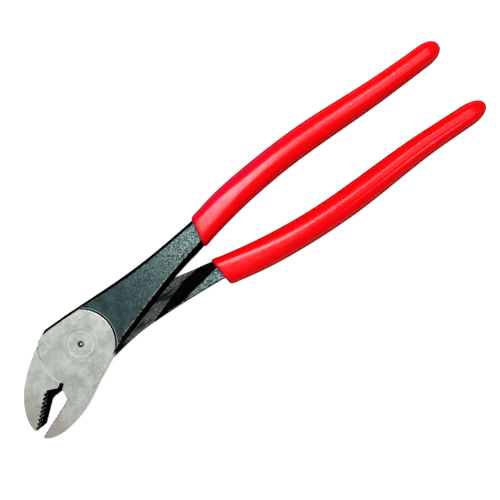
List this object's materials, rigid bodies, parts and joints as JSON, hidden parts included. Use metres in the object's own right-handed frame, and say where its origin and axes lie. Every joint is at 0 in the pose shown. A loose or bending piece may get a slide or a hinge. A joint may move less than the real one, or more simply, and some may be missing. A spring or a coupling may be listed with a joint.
{
  "type": "angle-nose gripping pliers",
  "caption": "Gripping pliers with serrated jaws bent to one side, a riveted lap joint and bowed handles in glossy dipped vinyl grips.",
  "frame": {"origin": "on the rivet's axis, at the flat back of the head", "axes": "+X from the rivet along the handles, +Y towards the front lever's handle, +Z from the back of the head to its front"},
  "size_m": [0.2034, 0.0417, 0.011],
  "materials": {
    "front_lever": "forged steel with a dark oxide, ground bright on the hub and on the sides of the jaw",
    "rear_lever": "forged steel with a dark oxide, ground bright on the lap and on the sides of the jaw",
    "joint_rivet": "peened and ground flush with the hub",
    "front_lever_grip": "glossy dipped vinyl",
    "rear_lever_grip": "glossy dipped vinyl"
  },
  "bodies": {
    "front": {"front_lever": "front_lever", "joint_rivet": "joint_rivet", "front_lever_grip": "front_lever_grip"},
    "rear": {"rear_lever": "rear_lever", "rear_lever_grip": "rear_lever_grip"}
  },
  "joints": [
    {"name": "jaw_pivot", "type": "hinge", "parent": "front", "child": "rear", "pos_m": [0, 0, 0.0055], "axis": [0, 0, -1], "range_deg": [-4, 60]}
  ]
}
